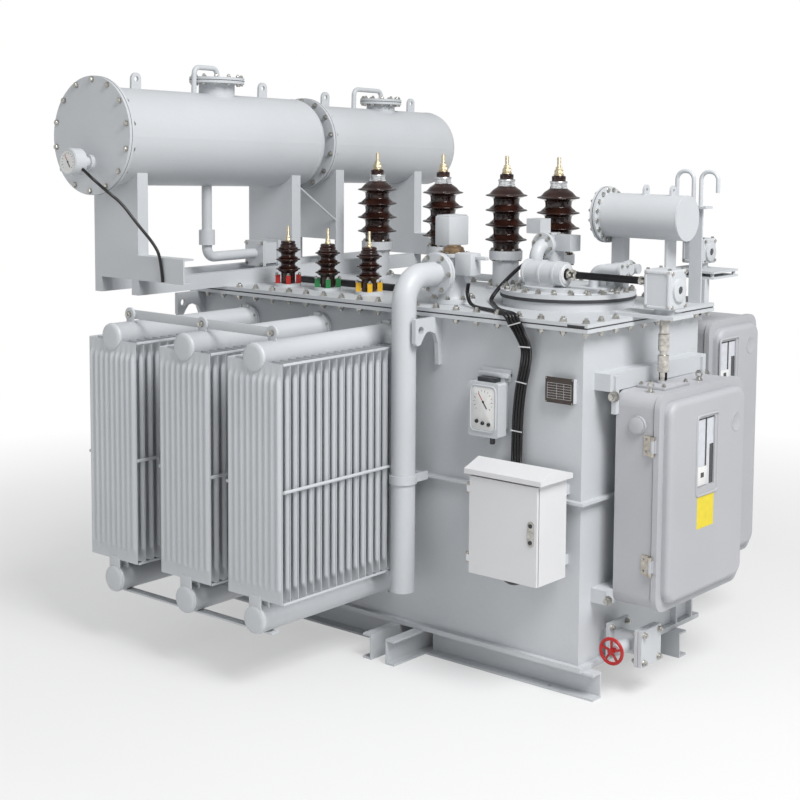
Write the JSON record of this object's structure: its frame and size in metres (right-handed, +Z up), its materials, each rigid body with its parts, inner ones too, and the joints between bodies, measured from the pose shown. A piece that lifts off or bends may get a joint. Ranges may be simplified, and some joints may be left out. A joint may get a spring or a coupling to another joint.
{
  "type": "power transformer",
  "caption": "Oil-filled power transformer on skids with panel radiators, porcelain bushings, twin conservators and an on-load tap changer with motor cabinets.",
  "frame": {"origin": "on the ground under the middle of the tank, on the foot of the middle cross channel", "axes": "+Z up, +X towards the tap-changer end with the motor cabinets, -Y towards the front with the control box"},
  "size_m": [2.702, 2.5788, 2.5578],
  "materials": {
    "grey_paint": "satin",
    "box_paint": "satin",
    "cabinet_paint": "satin",
    "brown_glaze": "gloss",
    "brass": "satin",
    "bronze": "satin",
    "hinge_steel": "satin",
    "cap_metal": "satin",
    "shaft_steel": "satin",
    "shaft_black": "satin",
    "gasket_rubber": "matt",
    "cable_black": "satin",
    "red_plastic": "gloss",
    "green_plastic": "gloss",
    "yellow_plastic": "gloss",
    "red_paint": "gloss",
    "dial_white": "gloss",
    "plate_brown": "satin"
  },
  "bodies": {
    "transformer": {"base_plate": "grey_paint", "bevel_gearboxes": "grey_paint", "bushing_turrets": "grey_paint", "clamps_green": "green_plastic", "clamps_red": "red_plastic", "clamps_yellow": "yellow_plastic", "conservator_ends": "grey_paint", "conservator_frame": "grey_paint", "conservator_supports": "grey_paint", "conservators": "grey_paint", "control_box": "box_paint", "control_roof": "box_paint", "cover_lugs": "grey_paint", "cross_beams": "grey_paint", "dial_faces": "dial_white", "discharge_pipe": "grey_paint", "door_hinges": "hinge_steel", "drain_valve": "grey_paint", "gaskets": "gasket_rubber", "gearbox_brackets": "grey_paint", "hv_caps": "cap_metal", "hv_insulators": "brown_glaze", "instruments": "grey_paint", "lifting_hooks": "grey_paint", "lv_insulators": "brown_glaze", "manhole_covers": "grey_paint", "motor_cabinets": "cabinet_paint", "nameplate": "plate_brown", "oil_pipework": "grey_paint", "radiators_back": "grey_paint", "radiators_front": "grey_paint", "relief_cap": "bronze", "relief_device": "grey_paint", "shaft_bosses": "cabinet_paint", "skids": "grey_paint", "small_conservator_posts": "grey_paint", "stiffener_band": "grey_paint", "tank_cover": "grey_paint", "tank_rim": "grey_paint", "tank_wall": "grey_paint", "tap_head": "grey_paint", "tap_pipes": "grey_paint", "tap_relay": "grey_paint", "tap_seat": "grey_paint", "terminals": "brass", "tie_bars": "grey_paint", "vent_pipes": "grey_paint", "wall_brackets": "grey_paint", "wiring": "cable_black"},
    "control_door": {"control_door": "box_paint"},
    "near_door": {"near_cabinet_door": "cabinet_paint"},
    "far_door": {"far_cabinet_door": "cabinet_paint"},
    "handwheel": {"drain_handwheel": "red_paint"},
    "shaft_top": {"drive_shaft_top": "shaft_black"},
    "shaft_down": {"drive_shaft_down": "shaft_steel"},
    "shaft_far": {"drive_shaft_far": "shaft_steel"}
  },
  "joints": [
    {"name": "control_door_hinge", "type": "hinge", "parent": "transformer", "child": "control_door", "pos_m": [0.722, -0.69, 0.7], "axis": [0, 0, -1], "range_deg": [0, 110]},
    {"name": "near_door_hinge", "type": "hinge", "parent": "transformer", "child": "near_door", "pos_m": [1.353, -0.337, 0.8], "axis": [0, 0, -1], "range_deg": [0, 100]},
    {"name": "far_door_hinge", "type": "hinge", "parent": "transformer", "child": "far_door", "pos_m": [1.075, 0.544, 0.9], "axis": [0, 0, -1], "range_deg": [0, 90]},
    {"name": "handwheel_spin", "type": "hinge", "parent": "transformer", "child": "handwheel", "pos_m": [1.215, -0.385, 0.2], "axis": [0, 1, 0], "continuous": true},
    {"name": "top_shaft_spin", "type": "hinge", "parent": "transformer", "child": "shaft_top", "pos_m": [1.1, -0.092, 1.662], "axis": [1, 0, 0], "continuous": true},
    {"name": "down_shaft_spin", "type": "hinge", "parent": "transformer", "child": "shaft_down", "pos_m": [1.25, -0.092, 1.4], "axis": [0, 0, 1], "continuous": true},
    {"name": "far_shaft_spin", "type": "hinge", "parent": "transformer", "child": "shaft_far", "pos_m": [1, 0.62, 1.55], "axis": [0, 0, 1], "continuous": true}
  ],
  "couplings": [
    {"joint": "down_shaft_spin", "follows": "top_shaft_spin", "ratio": -1}
  ]
}
